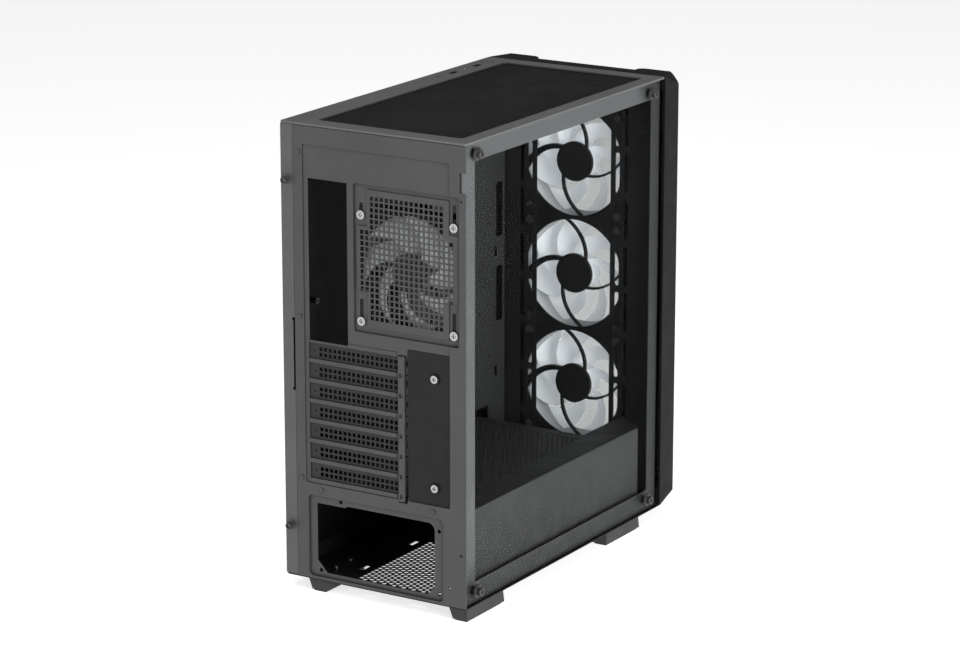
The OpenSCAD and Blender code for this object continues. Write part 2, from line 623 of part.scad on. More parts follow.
// Curved strut of a fan frame, from the hub to the frame, bending as it goes out; the one that
// carries the cord widens towards the frame
strut_steps = 8;
strut_bend = -58;
strut_w = [3, 3];
cord_strut_w = [5, 11];
function strut_edge(side, w) = [for (i = [0:strut_steps]) let (
    t = i / strut_steps,
    r = hub_r - 3 + t * (blade_r + tip_gap + 1 - hub_r + 3),
    wide = w[0] + t * (w[1] - w[0]),
    a = strut_bend * pow(t, 0.8) + side * wide / 2 / r * 57.3) r * [cos(a), sin(a)]];
function reversed(list) = [for (i = [len(list) - 1:-1:0]) list[i]];
module strut(turn, w) rotate(turn) linear_extrude(hub_plate_t)
    polygon(concat(strut_edge(1, w), reversed(strut_edge(-1, w))));

module fan_frame(first_strut) {
    half = fan_size / 2 - fan_gap / 2;
    corners = [for (sx = [-1, 1], sy = [-1, 1]) [sx, sy] * fan_hole_pitch / 2];
    difference() {
        union() {
            for (z = [0, fan_d - flange_t])
                translate([0, 0, z]) linear_extrude(flange_t) polygon(rounded([-half, -half, half, half], 5));
            cylinder(h = fan_d, r = half - 0.2);
            for (c = corners) translate(c) cylinder(h = fan_d, r = fan_hole_r + 2);
        }
        rotate(25) translate([0, 0, -over]) cylinder(h = fan_d + 2 * over, r = blade_r + tip_gap, $fn = 96);
        for (c = corners) translate([c[0], c[1], -over]) cylinder(h = fan_d + 2 * over, r = fan_hole_r);
    }
    difference() {
        union() {
            rotate(25) cylinder(h = hub_plate_t, r = hub_r);
            cylinder(h = 14, r = sleeve_r);
            for (i = [0:3]) strut(first_strut + i * 90, i == 0 ? cord_strut_w : strut_w);
        }
        translate([0, 0, 1.5]) cylinder(h = 14, r = shaft_r + bearing_gap);
    }
}

// Rotor: cup, shaft and swept blades
blade_h = 18;
blade_t = 1.6;
blade_sweep = 26;
blade_twist = -38;
blade_steps = 5;
function blade_edge(side) = [for (i = [0:blade_steps]) let (
    t = i / blade_steps,
    r = hub_r - 1.5 + t * (blade_r - hub_r + 1.5),
    a = blade_sweep * pow(t, 1.6) + side * blade_t / 2 / r * 57.3) r * [cos(a), sin(a)]];
module fan_rotor() {
    difference() {
        translate([0, 0, hub_plate_t + 0.6]) cylinder(h = fan_d - hub_plate_t - 1.2, r = hub_r - 1);
        translate([0, 0, hub_plate_t]) cylinder(h = fan_d - hub_plate_t - 2.6, r = hub_r - 2.5);
    }
    translate([0, 0, 2]) cylinder(h = fan_d - 3.5, r = shaft_r);
    for (i = [0:blades - 1]) rotate(i * 360 / blades) translate([0, 0, hub_plate_t + 1.5])
        linear_extrude(blade_h, twist = blade_twist, slices = 5, segments = 1)
            polygon(concat(blade_edge(1), reversed(blade_edge(-1))));
}

// Intake fans have the hub plate on the inside; the exhaust fan has its blades outside
module intake_place(i) place() translate([0, wall_out_y, fan_zs[i]]) rotate([90, 0, 0]) children();
module exhaust_place() place() translate([exhaust_x, exhaust_y - fan_d, exhaust_z]) rotate([-90, 0, 0]) children();
module rear_fan_frame() color("#1e1f20") exhaust_place() fan_frame(62);
module rear_fan_rotor() color("#e8e9ea") exhaust_place() fan_rotor();
module low_fan_frame() color("#1e1f20") intake_place(0) fan_frame(48);
module low_fan_rotor() color("#e8e9ea") intake_place(0) fan_rotor();
module mid_fan_frame() color("#1e1f20") intake_place(1) fan_frame(48);
module mid_fan_rotor() color("#e8e9ea") intake_place(1) fan_rotor();
module top_fan_frame() color("#1e1f20") intake_place(2) fan_frame(48);
module top_fan_rotor() color("#e8e9ea") intake_place(2) fan_rotor();

module front_fan_screws() color("#3a3b3c") place()
    for (z = fan_zs, sx = [-1, 1], sz = [-1, 1])
        let (x = sx * fan_hole_pitch / 2, zz = z + sz * fan_hole_pitch / 2) {
            rod_y(x, zz, wall_in_y, wall_in_y + 1.8, 4);
            rod_y(x, zz, wall_in_y - 11, wall_in_y, 1.9);
        }

// ---- front panel ----

function mirror_x(list) = [for (i = [len(list) - 1:-1:0]) [-list[i][0], list[i][1]]];
front_half = [[pillar_in_x, front_y + mesh_recess], [pillar_edge_x, front_y],
    [half_w - 3, front_y], [half_w, front_y + 3], [half_w, -body_d - seam_gap]];
front_cavity = [[pillar_in_x - 1, front_y + mesh_recess + 1], [pillar_edge_x + 1, front_y + front_wall_t],
    [half_w - front_wall_t - 1, front_y + front_wall_t], [half_w - front_wall_t, front_y + front_wall_t + 2],
    [half_w - front_wall_t, -body_d + over]];
front_open = [-pillar_in_x + 3, 30, pillar_in_x - 3, case_h - 19];

// The head is thick enough for its front edge and corners to be bevelled
module front_panel_shell() color("#353638") place() {
    difference() {
        linear_extrude(case_h) polygon(concat(front_half, mirror_x(front_half)));
        translate([0, 0, lip_h]) linear_extrude(case_h - lip_h - head_h)
            polygon(concat(front_cavity, mirror_x(front_cavity)));
        block([-half_w + head_h, front_y + head_h + 6, case_h - head_h - over], [half_w - head_h, -body_d + over, case_h - 3]);
        front_edge_cut(half_w + over, [[front_y - over, 14], [front_y, 14], [front_y + 2.5, 10],
            [-body_d - seam_gap + 2, -over], [front_y - over, -over]]);
        front_edge_cut(half_w + over, [[front_y - over, case_h - 7], [front_y, case_h - 7],
            [front_y + 1.2, case_h - 3], [front_y + 4, case_h], [front_y + 4, case_h + over],
            [front_y - over, case_h + over]]);
        front_edge_cut(pillar_in_x, [[front_y - over, case_h - 10], [front_y + mesh_recess, case_h - 10],
            [front_y + 15, case_h], [front_y + 15, case_h + over], [front_y - over, case_h + over]]);
        for (s = [0, 1]) mirror([s, 0, 0]) translate([half_w, -body_d - seam_gap, case_h])
            rotate([0, 0, -18.8]) rotate([0, -36, 0]) translate([0, -100, -100]) cube([50, 200, 200]);
        rounded_y(front_open, 4, -body_d, front_d + 2 * over);
    }
    for (s = [-1, 1], z = pin_zs)
        rod_y(s * pin_x, z, front_y + front_wall_t - 0.5, wall_in_y + 5, pin_r);
}
module front_edge_cut(half, outline) translate([-half, 0, 0]) rotate([90, 0, 90]) linear_extrude(2 * half)
    polygon(outline);

module front_mesh() color("#1b1c1d") place()
    block([-pillar_in_x + 1, front_y + mesh_recess + 1, front_open[1] - 4],
        [pillar_in_x - 1, front_y + mesh_recess + 1 + mesh_t, front_open[3] + 4]);

// ---- window ----

glass = [-body_d + 0.5, 1.5 + sheet_t, -1.5, cover_z - 0.5];
module glass_panel() color([0.75, 0.8, 0.82, 0.25]) place() difference() {
    rounded_x(glass, 2, -half_w, glass_t);
    for (s = window_screws) rod_x(s[0], s[1], -half_w - over, -half_w + glass_t + over, 4.5);
}
module glass_washers() color("#161718") place()
    for (s = window_screws) difference() {
        union() {
            rod_x(s[0], s[1], -half_w - 1.2, -half_w, washer_r);
            rod_x(s[0], s[1], -half_w - over, -half_w + glass_t, 4.5);
        }
        rod_x(s[0], s[1], -half_w - 3, -half_w + glass_t + over, 2.4);
    }
module window_screw(i) color("#2a2b2c") place() let (y = window_screws[i][0], z = window_screws[i][1]) difference() {
    union() {
        rod_x(y, z, -half_w - 2.4, -half_w - 1.3, 5.4);
        rod_x(y, z, -half_w - screw_proud, -half_w - 2, 4.3);
        rod_x(y, z, -half_w - 2.4, frame_x + 3.4, 1.9);
    }
    rod_x(y, z, -half_w - screw_proud - over, -half_w - screw_proud + 1.6, 2.4);
}
module window_screw_rear_low() window_screw(0);
module window_screw_rear_top() window_screw(1);
module window_screw_front_low() window_screw(2);
module window_screw_front_top() window_screw(3);

// ---- cable-side panel ----

grip = [seam_x - over, 191.5, seam_x + 3.2, 265];
module cable_side_panel() color("#55565a") place() difference() {
    union() {
        block([panel_in_x, -body_d + 0.5, sheet_t + 0.5], [half_w, 0, cover_z - 0.5]);
        block([seam_x + 0.3, -sheet_t, sheet_t + 0.5], [half_w, 0, cover_z - 0.5]);
        block([seam_x + 0.3, -3.2, grip[1] - 6], [seam_x + 1.3, -sheet_t, grip[3] + 6]);
    }
    block([grip[0], -8, grip[1] + 3], [grip[2] - 1.2, over, grip[3] - 3]);
    for (z = [grip[1], grip[3] - 3]) block([grip[0], -8, z], [grip[2], over, z + 3]);
    for (z = panel_screw_zs) rod_y(panel_screw_x, z, -8, over, 2.2);
}
module panel_screw(z) color("#1a1b1c") place() difference() {
    union() {
        rod_y(panel_screw_x, z, 0.2, 2, 4.6);
        rod_y(panel_screw_x, z, 1, rear_proud, 3.8);
        rod_y(panel_screw_x, z, -7.5, 1, 1.7);
    }
    rod_y(panel_screw_x, z, rear_proud - 1.8, rear_proud + over, 2);
}
module panel_screw_low() panel_screw(panel_screw_zs[0]);
module panel_screw_top() panel_screw(panel_screw_zs[1]);

// ---- top controls ----

module button(y, r) translate([io_line_x, y, 0]) {
    translate([0, 0, case_h - 8]) cylinder(h = 8.4, r = r);
    translate([0, 0, case_h - 9.5]) cylinder(h = 1.5, r = r + 1.2);
}
module power_button() color("#5d5e60") place() button(power_y, power_r);
module reset_button() color("#5d5e60") place() button(reset_y, reset_r);

board_z = case_h - board_drop;
// Circuit board with two USB sockets, a headset socket, a lamp and two switches
module io_board() color("#22332a") place() {
    block([io_line_x - 8, power_y - 12, board_z - 1.6], [io_line_x + 8, led_y + 6, board_z]);
    for (y = usb_ys) difference() {
        block([io_line_x - 2.9, y - 6.5, board_z], [io_line_x + 2.9, y + 6.5, case_h - 0.4]);
        block([io_line_x - 2.4, y - 6, case_h - 9], [io_line_x + 1.2, y + 6, case_h + over]);
    }
    translate([io_line_x, jack_y, 0]) difference() {
        translate([0, 0, board_z]) cylinder(h = board_drop - 0.3, r = 3.4);
        translate([0, 0, case_h - 12]) cylinder(h = 14, r = 1.8);
    }
    translate([io_line_x, led_y, board_z]) cylinder(h = board_drop - 0.6, r = 1.4);
    for (y = [power_y, reset_y]) translate([io_line_x - 3, y - 3, board_z]) cube([6, 6, board_drop - 11.7]);
}

rear_panel();
rear_fan_grille();
window_frame();
cable_side_frame();
bottom_pan();
top_frame();
top_cover();
front_wall();
board_tray();
tray_cable_strip();
psu_shroud_top();
psu_shroud_side();
board_standoffs();
drive_cage();
drive_tray_lower();
drive_tray_upper();
slot_cover_1();
slot_cover_2();
slot_cover_3();
slot_cover_4();
slot_cover_5();
slot_cover_6();
slot_cover_7();
slot_cover_screws();
slot_clamp_strip();
slot_ledge();
slot_access_cover();
access_cover_screws();
foot_rear_window();
foot_rear_cable();
foot_front_window();
foot_front_cable();
foot_pads();
foot_screws();
frame_rivets();
rear_fan_frame();
rear_fan_rotor();
low_fan_frame();
low_fan_rotor();
mid_fan_frame();
mid_fan_rotor();
top_fan_frame();
top_fan_rotor();
rear_fan_screws();
front_fan_screws();
front_panel_shell();
front_mesh();
glass_panel();
glass_washers();
window_screw_rear_top();
window_screw_rear_low();
window_screw_front_top();
window_screw_front_low();
cable_side_panel();
panel_screw_top();
panel_screw_low();
top_filter();
power_button();
reset_button();
io_board();
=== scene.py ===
import json
import math

import bmesh
import bpy
from mathutils import Matrix, Vector


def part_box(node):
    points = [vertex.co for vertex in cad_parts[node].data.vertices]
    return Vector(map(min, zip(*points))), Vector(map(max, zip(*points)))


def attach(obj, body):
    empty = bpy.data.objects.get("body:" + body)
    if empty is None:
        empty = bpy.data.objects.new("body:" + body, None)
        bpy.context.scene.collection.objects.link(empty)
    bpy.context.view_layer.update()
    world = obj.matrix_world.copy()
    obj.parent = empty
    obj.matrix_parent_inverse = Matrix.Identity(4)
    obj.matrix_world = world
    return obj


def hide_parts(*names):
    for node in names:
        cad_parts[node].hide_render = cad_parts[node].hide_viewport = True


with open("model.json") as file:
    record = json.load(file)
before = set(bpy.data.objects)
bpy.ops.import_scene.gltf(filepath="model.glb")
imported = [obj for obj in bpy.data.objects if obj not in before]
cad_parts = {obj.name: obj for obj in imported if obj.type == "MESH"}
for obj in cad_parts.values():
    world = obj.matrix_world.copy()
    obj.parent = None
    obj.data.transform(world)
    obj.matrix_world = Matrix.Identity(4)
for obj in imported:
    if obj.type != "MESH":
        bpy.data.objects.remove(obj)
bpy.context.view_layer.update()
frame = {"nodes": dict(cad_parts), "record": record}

MM = 0.001
NODES = frame["nodes"]


# ---- places taken from the frame ----

def lo_hi(node):
    """Lowest and highest corner of a CAD node."""
    low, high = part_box(node)
    return Vector(low), Vector(high)


def centre(node):
    """Middle of a CAD node's box."""
    low, high = lo_hi(node)
    return (low + high) / 2


def body_of(node):
    """The body that a CAD node rides on."""
    for body, members in frame["record"]["behaviour"]["bodies"].items():
        if node in members:
            return body
    raise KeyError(node)


# ---- materials ----

def new_material(name):
    mat = bpy.data.materials.new(name)
    mat.use_nodes = True
    mat.node_tree.nodes.clear()
    return mat, mat.node_tree


def node(tree, kind, **values):
    """A shader node; keys are socket names (spaces as _) or node properties."""
    made = tree.nodes.new(kind)
    for key, value in values.items():
        if hasattr(made, key):
            setattr(made, key, value)
        else:
            made.inputs[key.replace("_", " ")].default_value = value
    return made


def surface(tree, shader):
    out = tree.nodes.new("ShaderNodeOutputMaterial")
    tree.links.new(shader.outputs[0], out.inputs["Surface"])


def speckle(tree, scale, low, high, detail=3.0):
    """A value that wanders between low and high, with features about 1 / scale metres across."""
    coords = tree.nodes.new("ShaderNodeTexCoord")
    noise = node(tree, "ShaderNodeTexNoise", Scale=scale, Detail=detail)
    tree.links.new(coords.outputs["Object"], noise.inputs["Vector"])
    ramp = node(tree, "ShaderNodeMapRange", To_Min=low, To_Max=high)
    ramp.inputs["From Min"].default_value = 0.3
    ramp.inputs["From Max"].default_value = 0.7
    tree.links.new(noise.outputs["Fac"], ramp.inputs["Value"])
    return ramp.outputs["Result"]


def shade(tree, colour, amount, scale):
    """The colour, with its brightness wandering by the given share."""
    mix = node(tree, "ShaderNodeMix", data_type="RGBA")
    dark = [c * (1 - amount) for c in colour[:3]] + [1]
    light = [min(1, c * (1 + amount)) for c in colour[:3]] + [1]
    mix.inputs[6].default_value = dark
    mix.inputs[7].default_value = light
    tree.links.new(speckle(tree, scale, 0, 1), mix.inputs[0])
    return mix.outputs[2]


def bump(tree, scale, strength, distance):
    """A fine grain in the surface's normal."""
    made = node(tree, "ShaderNodeBump", Strength=strength, Distance=distance)
    tree.links.new(speckle(tree, scale, 0, 1, detail=2.0), made.inputs["Height"])
    return made.outputs["Normal"]


TONE_SCALE = 22
GLOSS_SCALE = 60
GLOSS_SPREAD = 0.06
GRAIN_HEIGHT = 0.2 * MM


def coated(name, colour, rough, metallic=0.0, grain=1400, grain_depth=0.25, spread=0.08, specular=0.5,
           corners=0.0):
    """Paint, plastic or plated metal: a base colour that varies a little, a grain and uneven gloss.

    Within the given distance in metres of a corner, ambient occlusion darkens the base colour: painted shade.
    """
    mat, tree = new_material(name)
    bsdf = node(tree, "ShaderNodeBsdfPrincipled", Metallic=metallic)
    bsdf.inputs["Specular IOR Level"].default_value = specular
    base = shade(tree, colour, spread, TONE_SCALE)
    # painted shade: ambient occlusion darkens the base colour near corners and in recesses
    if corners:
        painted_corner_shade = node(tree, "ShaderNodeAmbientOcclusion", samples=8, Distance=corners)
        tree.links.new(base, painted_corner_shade.inputs["Color"])
        base = painted_corner_shade.outputs["Color"]
    tree.links.new(base, bsdf.inputs["Base Color"])
    gloss = speckle(tree, GLOSS_SCALE, rough - GLOSS_SPREAD, rough + GLOSS_SPREAD)
    tree.links.new(gloss, bsdf.inputs["Roughness"])
    tree.links.new(bump(tree, grain, grain_depth, GRAIN_HEIGHT), bsdf.inputs["Normal"])
    surface(tree, bsdf)
    return mat


def painted(name, colour, rough=0.5, specular=0.3, corners=0.004):
    """Powder coat: a fine shallow grain, with painted shade in tight corners."""
    return coated(name, colour, rough, grain=1600, grain_depth=0.1, spread=0.06, specular=specular,
                  corners=corners)


def painted_with_shade(name, colour, dark, ramps, by="Object", specular=0.3):
    """Paint with painted shade: it goes over to its dark colour along the ramps, listed as (axis, dark end,
    light end).

    The ramps run along the object's coordinates or, with by="Normal", along the surface's direction.
    """
    mat = painted(name, colour, specular=specular, corners=0)
    tree = mat.node_tree
    bsdf = tree.nodes["Principled BSDF"]
    base = bsdf.inputs["Base Color"].links[0].from_socket
    coords = tree.nodes.new("ShaderNodeTexCoord")
    split = tree.nodes.new("ShaderNodeSeparateXYZ")
    tree.links.new(coords.outputs[by], split.inputs[0])
    for axis, dark_end, light_end in ramps:
        ramp = tree.nodes.new("ShaderNodeMapRange")
        ramp.inputs["From Min"].default_value = dark_end
        ramp.inputs["From Max"].default_value = light_end
        tree.links.new(split.outputs[axis], ramp.inputs["Value"])
        mix = node(tree, "ShaderNodeMix", data_type="RGBA")
        mix.inputs[6].default_value = [*dark, 1]
        tree.links.new(ramp.outputs["Result"], mix.inputs[0])
        tree.links.new(base, mix.inputs[7])
        base = mix.outputs[2]
    tree.links.new(base, bsdf.inputs["Base Color"])
    return mat


def blade_plastic(name, painted_glow):
    """Milky white plastic that lets some light through, with a painted glow from emission that stands in for
    light falling on it.
    """
    mat, tree = new_material(name)
    # painted light: the emission makes the plastic glow
    bsdf = node(tree, "ShaderNodeBsdfPrincipled", IOR=1.46, Emission_Strength=painted_glow)
    bsdf.inputs["Emission Color"].default_value = (0.95, 0.97, 1, 1)
    tree.links.new(shade(tree, (0.86, 0.87, 0.88), 0.03, 30), bsdf.inputs["Base Color"])
    tree.links.new(speckle(tree, 80, 0.28, 0.4), bsdf.inputs["Roughness"])
    tree.links.new(bump(tree, 900, 0.08, GRAIN_HEIGHT), bsdf.inputs["Normal"])
    through = node(tree, "ShaderNodeBsdfTranslucent", Color=(0.9, 0.92, 0.94, 1))
    mix = node(tree, "ShaderNodeMixShader", Fac=0.5)
    tree.links.new(bsdf.outputs[0], mix.inputs[1])
    tree.links.new(through.outputs[0], mix.inputs[2])
    surface(tree, mix)
    return mat


def clear_glass(name):
    """Thin clear sheet: light passes straight through, with a weak reflection and faint smudges."""
    mat, tree = new_material(name)
    clear = node(tree, "ShaderNodeBsdfTransparent", Color=(0.975, 0.985, 0.985, 1))
    gloss = node(tree, "ShaderNodeBsdfGlossy", Color=(1, 1, 1, 1))
    tree.links.new(speckle(tree, 9, 0.02, 0.09), gloss.inputs["Roughness"])
    mix = node(tree, "ShaderNodeMixShader")
    tree.links.new(speckle(tree, 5, 0.001, 0.003), mix.inputs[0])
    tree.links.new(clear.outputs[0], mix.inputs[1])
    tree.links.new(gloss.outputs[0], mix.inputs[2])
    surface(tree, mix)
    return mat


# materials made with painted() carry painted shade in their tight corners
MATERIALS = {
    "body_paint": painted("body_paint", (0.058, 0.0588, 0.06)),
    "inner_paint": painted("inner_paint", (0.012, 0.012, 0.0125), specular=0.18),
    "slot_paint": painted("slot_paint", (0.018, 0.0182, 0.0187)),
    "standoff_black": coated("standoff_black", (0.05, 0.05, 0.05), 0.35, metallic=1, grain=700),
    "tray_plastic": coated("tray_plastic", (0.012, 0.012, 0.012), 0.55, grain=900),
    # painted shade in the screws' recesses, from the corners setting
    "screw_steel": coated("screw_steel", (0.42, 0.42, 0.415), 0.34, metallic=1, grain=2500, corners=0.0015),
    "black_screw": coated("black_screw", (0.02, 0.02, 0.021), 0.3, grain=2500, spread=0.2, specular=0.7),
    "foot_plastic": coated("foot_plastic", (0.036, 0.0364, 0.037), 0.5, grain=1100, specular=0.2),
    "rubber": coated("rubber", (0.01, 0.01, 0.01), 0.6, grain=800, grain_depth=0.4, spread=0.2),
    "fan_plastic": coated("fan_plastic", (0.007, 0.007, 0.0075), 0.45, grain=1200, spread=0.15,
                          specular=0.25),
    # painted light: the intake fans' blades and hubs glow at strength 0.24
    "blade_plastic": blade_plastic("blade_plastic", 0.24),
    "front_plastic": coated("front_plastic", (0.007, 0.007, 0.0073), 0.45, grain=1000, specular=0.08),
    "mesh_steel": painted("mesh_steel", (0.012, 0.012, 0.0125), rough=0.45, specular=0.2),
    "clear_glass": clear_glass("clear_glass"),
    "filter_mesh": coated("filter_mesh", (0.012, 0.012, 0.0125), 0.5, grain=2500, spread=0.2, specular=0.2),
    "button_plastic": coated("button_plastic", (0.09, 0.09, 0.094), 0.42, grain=1500),
    "board_green": coated("board_green", (0.01, 0.011, 0.011), 0.5, grain=1500),
}
SOCKET_STEEL = coated("socket_steel", (0.5, 0.5, 0.5), 0.32, metallic=1, grain=2500)
LAMP_LENS = coated("lamp_lens", (0.7, 0.72, 0.75), 0.25, grain=1500)
# the same plastic with only a faint painted glow, for the rear fan's blades
SHADED_BLADE = blade_plastic("shaded_blade", 0.02)
HUB_CAP = coated("hub_cap", (0.05, 0.051, 0.053), 0.4, grain=1200)
# painted light: a pale ring where the black duct wall catches light
DUCT_HIGHLIGHT = coated("duct_highlight_ring", (0.45, 0.46, 0.47), 0.4, grain=1200)
SHROUD_TOP_PAINT = painted("shroud_top_paint", (0.018, 0.0182, 0.0185), specular=0.2)
# painted shade: the tray paint darkens towards +Y, the rear end of the case
TRAY_PAINT = painted_with_shade("tray_paint", (0.03, 0.0303, 0.031), (0.002, 0.002, 0.002), [("Y", 0.03, 0)],
                   specular=0.06)
OWN_MATERIAL = {
    # painted shade: the frame darkens towards the front stile and towards the bottom rail
    "window_frame": painted_with_shade("frame_paint", (0.088, 0.089, 0.091), (0.022, 0.0222, 0.023),
                          [("Y", -0.16, -0.13), ("Z", 0.032, 0.06)]),
    # painted shade: the shroud side darkens towards the bottom
    "psu_shroud_side": painted_with_shade("shroud_paint", (0.023, 0.0232, 0.0237), (0.008, 0.0081, 0.0083),
                             [("Z", 0.01, 0.085)]),
    # painted shade: the panel's inward-facing side is dark
    "cable_side_panel": painted_with_shade("panel_paint", (0.085, 0.086, 0.088), (0.005, 0.005, 0.005),
                              [("X", -0.6, -0.3)], by="Normal"),
    "top_cover": painted("cover_paint", (0.11, 0.111, 0.114)),
    "board_tray": TRAY_PAINT,
    "tray_cable_strip": TRAY_PAINT,
}


def slot_of(node_name):
    for part in frame["record"]["subparts"]:
        if part["node"] == node_name:
            return part["material_slot"]
    raise KeyError(node_name)


# ---- mesh helpers ----

BOX_FACES = [(0, 3, 2, 1), (4, 5, 6, 7), (0, 1, 5, 4), (1, 2, 6, 5), (2, 3, 7, 6), (3, 0, 4, 7)]


class Build:
    """Collects vertices and faces for one piece."""

    def __init__(self):
        self.verts = []
        self.faces = []

    def add(self, verts, faces):
        start = len(self.verts)
        self.verts.extend(verts)
        self.faces.extend([start + i for i in face] for face in faces)

    def box(self, low, high):
        x0, y0, z0 = low
        x1, y1, z1 = high
        self.add(
            [(x0, y0, z0), (x1, y0, z0), (x1, y1, z0), (x0, y1, z0),
             (x0, y0, z1), (x1, y0, z1), (x1, y1, z1), (x0, y1, z1)],
            BOX_FACES)

    def prism(self, outline, z0, z1):
        """A flat plate with a convex or concave outline, counter-clockwise."""
        count = len(outline)
        verts = [(x, y, z0) for x, y in outline] + [(x, y, z1) for x, y in outline]
        faces = [tuple(reversed(range(count))), tuple(range(count, 2 * count))]
        faces += [(i, (i + 1) % count, count + (i + 1) % count, count + i) for i in range(count)]
        self.add(verts, faces)

    def lathe(self, profile, steps, wobble=None):
        """Turns (radius, height) points round Z; wobble(angle, radius, height) returns another radius."""
        start = len(self.verts)
        for radius, height in profile:
            for i in range(steps):
                angle = 2 * math.pi * i / steps
                r = wobble(angle, radius, height) if wobble else radius
                self.verts.append((r * math.cos(angle), r * math.sin(angle), height))
        for ring in range(len(profile) - 1):
            for i in range(steps):
                j = (i + 1) % steps
                a, b = start + ring * steps, start + (ring + 1) * steps
                self.faces.append([a + i, a + j, b + j, b + i])
        self.faces.append([start + i for i in reversed(range(steps))])
        last = start + (len(profile) - 1) * steps
        self.faces.append([last + i for i in range(steps)])

    def hoop(self, profile, steps):
        """Turns a closed outline of (radius, height) points round Z."""
        start = len(self.verts)
        for radius, height in profile:
            for i in range(steps):
                angle = 2 * math.pi * i / steps
                self.verts.append((radius * math.cos(angle), radius * math.sin(angle), height))
        for k in range(len(profile)):
            here = start + k * steps
            after = start + (k + 1) % len(profile) * steps
            for i in range(steps):
                j = (i + 1) % steps
                self.faces.append([here + i, here + j, after + j, after + i])


def piece(name, build, body, slot, material=None, matrix=None, smooth=None, bevel=None):
    """Makes a mesh piece, puts it in place and lets it ride on its body."""
    mesh = bpy.data.meshes.new(name)
    mesh.from_pydata([tuple(v) for v in build.verts], [], build.faces)
    mesh.validate()
    made = bmesh.new()
    made.from_mesh(mesh)
    bmesh.ops.recalc_face_normals(made, faces=made.faces)
    made.to_mesh(mesh)
    made.free()
    if matrix is not None:
        mesh.transform(matrix)
    obj = bpy.data.objects.new(name, mesh)
    bpy.context.scene.collection.objects.link(obj)
    mesh.materials.append(material or MATERIALS[slot])
    if smooth is not None:
        mesh.shade_smooth()
        mesh.set_sharp_from_angle(angle=math.radians(smooth))
    if bevel:
        add_bevel(obj, bevel)
    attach(obj, body)
    return obj


def add_bevel(obj, width, segments=2, angle=40):
    mod = obj.modifiers.new("edge", "BEVEL")
    mod.width = width
    mod.segments = segments
    mod.limit_method = "ANGLE"
    mod.angle_limit = math.radians(angle)
    mod.use_clamp_overlap = True


def along(axis, place):
    """Matrix that turns +Z to the axis and moves the origin to the place."""
    return Matrix.Translation(place) @ Vector(axis).to_track_quat("Z", "Y").to_matrix().to_4x4()


# ---- woven and perforated sheets ----

def clip_line(point, direction, half_u, half_v):
    """The stretch of a line that lies inside a rectangle centred on the origin, or None."""
    start, end = -1e9, 1e9
    for p, d, half in ((point[0], direction[0], half_u), (point[1], direction[1], half_v)):
        if abs(d) < 1e-9:
            if abs(p) > half:
                return None
            continue
        a, b = (-half - p) / d, (half - p) / d
        start, end = max(start, min(a, b)), min(end, max(a, b))
    return (start, end) if end - start > 1e-5 else None


def strips(build, half_u, half_v, angle, pitch, width, low, high, place):
    """Parallel flat strips that fill a rectangle; place(u, v, w) maps to the row frame."""
    turn = math.radians(angle)
    direction = (math.cos(turn), math.sin(turn))
    normal = (-direction[1], direction[0])
    reach = abs(normal[0]) * half_u + abs(normal[1]) * half_v
    count = int(reach / pitch)
    for i in range(-count, count + 1):
        point = (normal[0] * i * pitch, normal[1] * i * pitch)
        span = clip_line(point, direction, half_u, half_v)
        if not span:
            continue
        corners = []
        for w in (low, high):
            for t, side in ((span[0], -1), (span[1], -1), (span[1], 1), (span[0], 1)):
                u = point[0] + direction[0] * t + normal[0] * side * width / 2
                v = point[1] + direction[1] * t + normal[1] * side * width / 2
                corners.append(place(max(-half_u, min(half_u, u)), max(-half_v, min(half_v, v)), w))
        build.add(corners, BOX_FACES)


def rim_strips(half_u, half_v, rim):
    """The four strips of a rectangular rim, each as u0, v0, u1, v1."""
    return ((-half_u, -half_v, half_u, -half_v + rim), (-half_u, half_v - rim, half_u, half_v),
            (-half_u, -half_v + rim, -half_u + rim, half_v - rim),
            (half_u - rim, -half_v + rim, half_u, half_v - rim))


def front_mesh():
    """Fine diamond mesh behind the front opening, in a narrow rim."""
    low, high = lo_hi("front_mesh")
    mid = (low + high) / 2
    half_u, half_v = (high.x - low.x) / 2, (high.z - low.z) / 2
    thick = high.y - low.y

    def place(u, v, w):
        return (mid.x + u, low.y + w, mid.z + v)
    build = Build()
    slant, pitch, width = 58, 1.75 * MM, 0.72 * MM
    strips(build, half_u, half_v, slant, pitch, width, thick * 0.35, thick * 0.65, place)
    strips(build, half_u, half_v, -slant, pitch, width, thick * 0.3, thick * 0.6, place)
    rim = 2.5 * MM
    for u0, v0, u1, v1 in rim_strips(half_u, half_v, rim):
        build.box(place(u0, v0, 0), place(u1, v1, thick))
    obj = piece("front_mesh_weave", build, body_of("front_mesh"), "mesh_steel")
    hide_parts("front_mesh")


def top_filter():
    """Square-woven dust mesh in a thin magnetic rim."""
    low, high = lo_hi("top_filter")
    mid = (low + high) / 2
    half_u, half_v = (high.x - low.x) / 2, (high.y - low.y) / 2

    def place(u, v, w):
        return (mid.x + u, mid.y + v, low.z + w)
    build = Build()
    pitch, width = 1.55 * MM, 0.75 * MM
    strips(build, half_u, half_v, 0, pitch, width, 0.7 * MM, 0.95 * MM, place)
    strips(build, half_u, half_v, 90, pitch, width, 0.8 * MM, 1.05 * MM, place)
    rim = 2.2 * MM
    top = high.z - low.z
    for u0, v0, u1, v1 in rim_strips(half_u, half_v, rim):
        build.box(place(u0, v0, 0), place(u1, v1, top - 0.3 * MM))
    obj = piece("top_filter_weave", build, body_of("top_filter"), "filter_mesh")
    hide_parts("top_filter")


def hole_ring(half_x, half_y, radius_x, radius_y):
    """Eight points round a brick cell's edge and the eight on its hole."""
    outer = [(half_x, 0), (half_x, half_y), (0, half_y), (-half_x, half_y),
             (-half_x, 0), (-half_x, -half_y), (0, -half_y), (half_x, -half_y)]
    inner = []
    for i in range(8):
        a = math.pi / 4 * i
        inner.append((radius_x * math.cos(a), radius_y * math.sin(a)))
    return outer, inner


